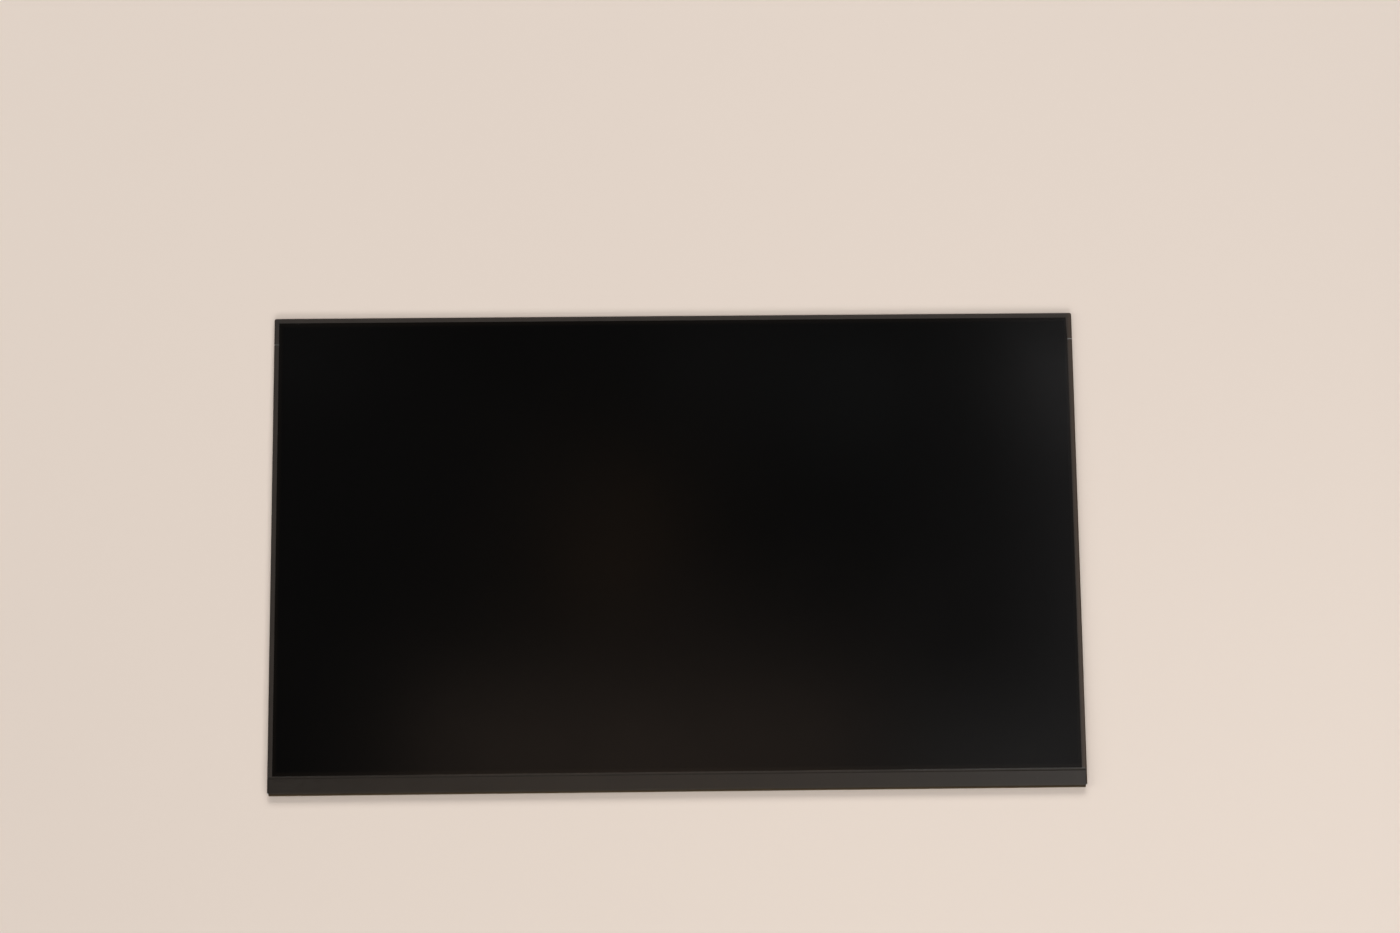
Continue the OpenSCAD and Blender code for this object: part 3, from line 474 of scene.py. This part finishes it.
class Board:
    """Low prisms on the board's face, gathered into one mesh."""

    def __init__(self):
        self.mesh = bmesh.new()

    def prism(self, outline, low, high, inset=0.0):
        """Straight up from an outline, or drawn in at the top by a share of its size."""
        count = len(outline)
        middle = (sum(p[0] for p in outline) / count, sum(p[1] for p in outline) / count)
        top = [(x + (middle[0] - x) * inset, y + (middle[1] - y) * inset) for x, y in outline]
        foot = [self.mesh.verts.new((x, y, BOARD_FACE - low)) for x, y in outline]
        roof = [self.mesh.verts.new((x, y, BOARD_FACE - high)) for x, y in top]
        self.mesh.faces.new(foot)
        self.mesh.faces.new(roof[::-1])
        for i in range(count):
            j = (i + 1) % count
            self.mesh.faces.new((foot[i], roof[i], roof[j], foot[j]))

    def bar(self, x0, y0, x1, y1, high):
        """Upright block between two corners, given in either order."""
        x0, x1 = sorted((x0, x1))
        y0, y1 = sorted((y0, y1))
        self.prism([(x0, y0), (x1, y0), (x1, y1), (x0, y1)], 0.0, high)

    def disc(self, x, y, radius, high, sides):
        """Round pad with a slight taper."""
        turns = [i * math.tau / sides for i in range(sides)]
        self.prism([(x + radius * math.cos(a), y + radius * math.sin(a)) for a in turns], 0.0, high, 0.04)

    def via(self, x, y):
        self.disc(x, y, VIA_R, VIA_H, VIA_SIDES)

    def trace(self, start, end):
        """Straight copper line between two points."""
        along = (Vector(end) - Vector(start)).normalized()
        out = Vector((-along.y, along.x)) * TRACE_W / 2
        (x0, y0), (x1, y1) = start, end
        self.prism([
            (x0 - out.x, y0 - out.y), (x1 - out.x, y1 - out.y),
            (x1 + out.x, y1 + out.y), (x0 + out.x, y0 + out.y),
        ], 0.0, COPPER_H)

    def finish(self, name, material, slot):
        """One object that rides on the panel."""
        bmesh.ops.recalc_face_normals(self.mesh, faces=self.mesh.faces)
        self.mesh.transform(PANEL)
        data = bpy.data.meshes.new(name)
        self.mesh.to_mesh(data)
        self.mesh.free()
        data.materials.append(material)
        obj = bpy.data.objects.new(name, data)
        scene.collection.objects.link(obj)
        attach(obj, "root")


def around(x, y, length, width, clear):
    """Box round a part, with a clearance along the board and across it."""
    half_x = length / 2 + clear[0]
    half_y = width / 2 + clear[1]
    return (x - half_x, y - half_y, x + half_x, y + half_y)


def part_boxes():
    """Boxes round the small parts, with their pads."""
    return [around(x, y, length, width, PART_CLEAR) for x, y, length, width, height in small_parts()]


def keep_out():
    """Boxes on the board's face that a trace goes round."""
    boxes = part_boxes()
    boxes += [around(x * UNIT, MIDDLE_ROW, length, width, CHIP_CLEAR) for x, length, width in CHIPS]
    boxes += [around(x * UNIT, MIDDLE_ROW, width, width, COIL_CLEAR) for x, width in COILS]
    taken = [DISPLAY_SOCKET, BACKLIGHT_SOCKET]
    taken += [(x, GROUND_TAPE_HALF, GROUND_TAPE_FOOT, BOARD_HEAD) for x in GROUND_TAPES]
    taken += [(x, NOTCH_HALF, NOTCH_FOOT, BOARD_HEAD) for x in NOTCHES]
    taken += [(x, STEP_HALF, STEP_FOOT, BOARD_HEAD) for x in (-STEP_X, STEP_X)]
    boxes += [(x - half, foot, x + half, head) for x, half, foot, head in taken]
    return boxes


def free_runs(y, boxes):
    """Stretches along the board at height y that no box takes."""
    taken = sorted((b[0], b[2]) for b in boxes if b[1] < y < b[3])
    low = -RUN_END
    runs = []
    for start, end in taken + [(RUN_END, RUN_END)]:
        if start - low > SHORTEST_RUN:
            runs.append((low, start))
        low = max(low, end)
    return runs


def lane_traces(draw, boxes, traces, gold):
    """Parallel traces between the rows of parts, in broken lengths with a via at each end."""
    for lanes in (LOW_LANES, HIGH_LANES):
        for k, y in enumerate(lanes):
            for x0, x1 in free_runs(y, boxes):
                margin = LANE_MARGIN + LANE_STAGGER * k
                a = x0 + margin + draw.random() * LANE_SPREAD
                b = x1 - margin - draw.random() * LANE_SPREAD
                while b - a > SHORTEST_TRACE:
                    stop = min(b, a + draw.uniform(*TRACE_LENGTHS))
                    traces.trace((a, y), (stop, y))
                    for x in (a, stop):
                        gold.via(x, y)
                    a = stop + draw.uniform(*TRACE_GAPS)


def small_part_ends(traces, solder):
    """Pads, solder fillets and tinned ends of the small parts, and the traces that leave them."""
    for x, y, length, width, height in small_parts():
        cap = 0.2 * length
        pad_reach = 0.28 * length ** 0.5
        fillet_reach = 0.2 * length ** 0.5
        half = width / 2
        for side in (-1, 1):
            edge = x + side * length / 2
            inner = edge - side * cap
            solder.bar(inner, y - half - PAD_SIDE, edge + side * pad_reach, y + half + PAD_SIDE, PAD_H)
            solder.bar(inner, y - half - TIN_T, edge + side * TIN_T, y + half + TIN_T, height + TIN_T)
            tip = edge + side * fillet_reach
            foot = [(edge, y - half), (tip, y - half + 0.05), (tip, y + half - 0.05), (edge, y + half)]
            solder.prism(foot, PAD_H, PAD_H + 0.3 * height, 0.35)
            start = edge - side * cap / 2
            if y == LOW_ROW:
                traces.trace((start, y + half), (start, LOW_LANES[0]))
            elif y == HIGH_ROW:
                traces.trace((start, y - half), (start, HIGH_LANES[-1]))
            else:
                traces.trace((start, y + half), (start, HIGH_LANES[0]))
                traces.trace((start, y - half), (start, LOW_LANES[-1]))


def pad_places(middle, length):
    """Middles of the pads along one side of a chip."""
    count = int((length - 0.7) / PAD_PITCH)
    return [middle + (i - (count - 1) / 2) * PAD_PITCH for i in range(count)]


def chip_pads(traces, solder, gold):
    """Pads round the chips. Those at the ends each have a short trace that fans out to a via."""
    for place, length, width in CHIPS:
        x = place * UNIT
        for side in (-1, 1):
            edge = x + side * length / 2
            under, out = edge - side * PAD_UNDER, edge + side * PAD_OUT
            for i, y in enumerate(pad_places(MIDDLE_ROW, width)):
                solder.bar(under, y - PAD_HALF, out, y + PAD_HALF, PAD_H)
                tip = edge + side * (FAN_REACH + FAN_STAGGER * (i % 2))
                traces.trace((out, y), (tip, y))
                gold.via(tip, y)
            edge = MIDDLE_ROW + side * width / 2
            under, out = edge - side * PAD_UNDER, edge + side * PAD_OUT
            for a in pad_places(x, length):
                solder.bar(a - PAD_HALF, under, a + PAD_HALF, out, PAD_H)


def coil_pads(solder):
    """A broad pad under each end of a coil."""
    for place, width in COILS:
        for side in (-1, 1):
            edge = place * UNIT + side * width / 2
            half = COIL_SHARE * width
            under, out = edge - side * COIL_UNDER, edge + side * COIL_OUT
            solder.bar(under, MIDDLE_ROW - half, out, MIDDLE_ROW + half, PAD_H)


def socket_feet(traces, solder, gold):
    """Solder feet of the display socket's contacts, two in three with a trace to a via."""
    for i in range(CONTACTS):
        x = -UNIT + (i - (CONTACTS - 1) / 2) * CONTACT_PITCH
        solder.bar(x - FOOT_HALF, FOOT_LOW, x + FOOT_HALF, FOOT_HIGH, PAD_H)
        if i % 3:
            tip = FOOT_HIGH + FOOT_VIA + FOOT_STAGGER * (i % 2)
            traces.trace((x, FOOT_HIGH), (x, tip))
            gold.via(x, tip)


def test_pads(draw, boxes, gold):
    """Round test pads wherever the rows leave room."""
    for y in (LOW_ROW, HIGH_ROW + 0.1, HIGH_ROW + 0.1):
        for x0, x1 in free_runs(y, boxes):
            x = x0 + TEST_START
            while x < x1 - TEST_END:
                if draw.random() < TEST_SHARE:
                    gold.disc(x, y, TEST_PAD_R, PAD_H, TEST_PAD_SIDES)
                x += draw.uniform(*TEST_STEPS)


def corner_marks(ink):
    """Corner marks round the chips, coils and sockets, kept off the small parts and their pads."""
    parts = part_boxes()
    marks = []
    for place, length, width in CHIPS:
        marks.append((place * UNIT, MIDDLE_ROW, length / 2 + 0.62, width / 2 + 0.62))
    for place, width in COILS:
        marks.append((place * UNIT, MIDDLE_ROW, width / 2 + 0.7, width / 2 + 0.25))
    marks += SOCKET_MARKS

    def bar(x0, y0, x1, y1):
        """One line of a mark, where no part is in its way."""
        x0, x1 = sorted((x0, x1))
        y0, y1 = sorted((y0, y1))
        if not any(b[0] < x1 and x0 < b[2] and b[1] < y1 and y0 < b[3] for b in parts):
            ink.bar(x0, y0, x1, y1, PRINT_H)

    for x, y, half_x, half_y in marks:
        arm = 0.35 * min(half_x, half_y)
        for sx in (-1, 1):
            for sy in (-1, 1):
                cx, cy = x + sx * half_x, y + sy * half_y
                bar(cx, cy - PRINT_HALF, cx - sx * arm, cy + PRINT_HALF)
                bar(cx - PRINT_HALF, cy, cx + PRINT_HALF, cy - sy * arm)


def board_print(ink):
    """Corner marks, a dot at each chip's first pin, and short bars between the small parts of a row."""
    corner_marks(ink)
    for place, length, width in CHIPS:
        x = place * UNIT - length / 2 - 0.95
        ink.disc(x, MIDDLE_ROW + width / 2 + 0.3, PIN_DOT_R, PRINT_H, PIN_DOT_SIDES)
    kinds = ((CAPACITORS, CAPACITOR_PITCH, CAPACITOR_BAR), (RESISTORS, RESISTOR_PITCH, RESISTOR_BAR))
    for rows, pitch, half in kinds:
        for start, count, y in rows:
            for i in range(count - 1):
                x = start * UNIT + (i + 0.5) * pitch
                ink.bar(x - BAR_HALF, y - half, x + BAR_HALF, y + half, PRINT_H)


def board_details():
    """Copper lanes and vias, pads and solder at every part, test pads and print, as four pieces."""
    draw = random.Random(11)
    boxes = keep_out()
    traces, solder, gold, ink = Board(), Board(), Board(), Board()
    lane_traces(draw, boxes, traces, gold)
    small_part_ends(traces, solder)
    chip_pads(traces, solder, gold)
    coil_pads(solder)
    socket_feet(traces, solder, gold)
    test_pads(draw, boxes, gold)
    board_print(ink)
    traces.finish("board_traces", made["trace"], "circuit_board")
    solder.finish("board_solder", made["solder"], "socket_shell")
    gold.finish("board_vias_and_pads", made["gold"], "contact_metal")
    ink.finish("board_print", made["print"], "circuit_board")


board_details()


FLOOR_SIZE = 4.0
RING_HEIGHT = 0.75
RING_SIDES = 48
# Distances from the part between which the stage goes over from lit to an even shade
LIT_END = 0.55
EVEN_START = 1.1
EVEN_SHADE = (0.775, 0.665, 0.580, 1.0)


def stage_material():
    """Warm pale paint. Past the lamps it shows to the camera in an even shade."""
    t = Tree("floor", roughness=0.9, specular=0.1)
    cloud = t.fit(t.noise(1.2, 2.0), 0.3, 0.7)
    t.set("Base Color", t.mix(cloud, (0.735, 0.660, 0.603), (0.765, 0.690, 0.628)))
    path = t.new("ShaderNodeLightPath")
    seen = t.maths("MAXIMUM", path.outputs["Is Camera Ray"], path.outputs["Is Glossy Ray"])
    seen = t.maths("MAXIMUM", seen, path.outputs["Is Transmission Ray"])
    away = t.new("ShaderNodeVectorMath", operation="LENGTH")
    t.put(away, 0, t.place)
    far = t.fit(away.outputs["Value"], LIT_END, EVEN_START)
    glow = t.new("ShaderNodeEmission")
    t.put(glow, "Color", EVEN_SHADE)
    blend = t.new("ShaderNodeMixShader")
    t.put(blend, 0, t.maths("MULTIPLY", seen, far))
    t.tree.links.new(t.shader.outputs[0], blend.inputs[1])
    t.tree.links.new(glow.outputs[0], blend.inputs[2])
    t.tree.links.new(blend.outputs[0], t.tree.nodes["Material Output"].inputs["Surface"])
    return t.material


def stage():
    """Plain pale floor with a ring round it that closes the horizon."""
    material = stage_material()
    size = FLOOR_SIZE
    corners = [(-size, -size, 0), (size, -size, 0), (size, size, 0), (-size, size, 0)]
    ring = []
    walls = []
    for i in range(RING_SIDES):
        a = math.tau * i / RING_SIDES
        x, y = size * math.cos(a), size * math.sin(a)
        ring += [(x, y, 0), (x, y, RING_HEIGHT)]
        j = (i + 1) % RING_SIDES
        walls.append((2 * i, 2 * j, 2 * j + 1, 2 * i + 1))
    for name, points, faces in (("floor", corners, [(0, 1, 2, 3)]), ("backdrop", ring, walls)):
        mesh = bpy.data.meshes.new(name)
        mesh.from_pydata(points, [], faces)
        mesh.materials.append(material)
        obj = bpy.data.objects.new(name, mesh)
        scene.collection.objects.link(obj)


def lamp(name, place, size, power, colour, target=(0, 0, 0)):
    """Soft rectangular lamp that faces its target."""
    data = bpy.data.lights.new(name, "AREA")
    data.shape = "RECTANGLE"
    data.size, data.size_y = size
    data.energy = power
    data.color = colour
    obj = bpy.data.objects.new(name, data)
    scene.collection.objects.link(obj)
    obj.location = place
    obj.rotation_euler = (Vector(place) - Vector(target)).to_track_quat("Z", "Y").to_euler()


stage()
WARM = (1.0, 0.965, 0.93)
SMALL_LAMP_HEIGHT = 0.9
lamp("top_lamp", (0.0, 1.75, 1.5), (1.6, 0.9), 32.8, WARM)
lamp("left_lamp", (-1.9, -0.1, 1.45), (0.9, 1.4), 15.2, WARM)
lamp("front_lamp", (0.0, -1.8, 1.4), (1.6, 0.9), 21.0, WARM)
# What the dark face mirrors: warm patches low in the middle, paler ones along the right
for name, place, size, power, colour in (
    ("warm_low", (-0.030, -0.108), (0.40, 0.12), 0.346, (1.0, 0.72, 0.545)),
    ("warm_middle", (-0.052, 0.085), (0.08, 0.13), 0.0445, (1.0, 0.56, 0.26)),
    ("haze_left", (-0.34, 0.262), (0.06, 0.06), 0.010, (1.0, 1.0, 1.0)),
    ("haze_top", (0.045, 0.25), (0.12, 0.05), 0.012, (1.0, 1.0, 1.0)),
    ("cool_top", (0.167, 0.226), (0.07, 0.07), 0.015, (0.9, 0.99, 1.0)),
    ("low_glow", (0.275, -0.125), (0.16, 0.06), 0.100, (1.0, 0.96, 0.93)),
    ("corner_glow", (0.375, 0.25), (0.06, 0.08), 0.134, (1.0, 0.97, 0.98)),
    ("edge_glow", (0.385, 0.04), (0.04, 0.34), 0.148, (1.0, 0.95, 0.97)),
    ("strip_glow", (0.385, -0.13), (0.05, 0.14), 0.052, WARM),
    ("low_right", (0.62, -0.30), (0.2, 0.2), 2.6, WARM),
):
    lamp(name, (*place, SMALL_LAMP_HEIGHT), size, power, colour, (*place, 0))

world = bpy.data.worlds.new("studio")
scene.world = world
world.use_nodes = True
background = world.node_tree.nodes["Background"]
background.inputs["Color"].default_value = (0.93, 0.96, 1.0, 1.0)
background.inputs["Strength"].default_value = 0.07

# Fitted to the panel's corners as the photograph shows them
CAMERA_PLACE = (-2.2 * MM, -61.48 * MM, 844.85 * MM)
CAMERA_TURN = (6.647, -0.806, -0.605)
camera = bpy.data.objects.new("camera", bpy.data.cameras.new("camera"))
scene.collection.objects.link(camera)
scene.camera = camera
camera.data.sensor_width = 36.0
camera.data.lens = 50.0
camera.location = CAMERA_PLACE
camera.rotation_euler = Euler([math.radians(a) for a in CAMERA_TURN])
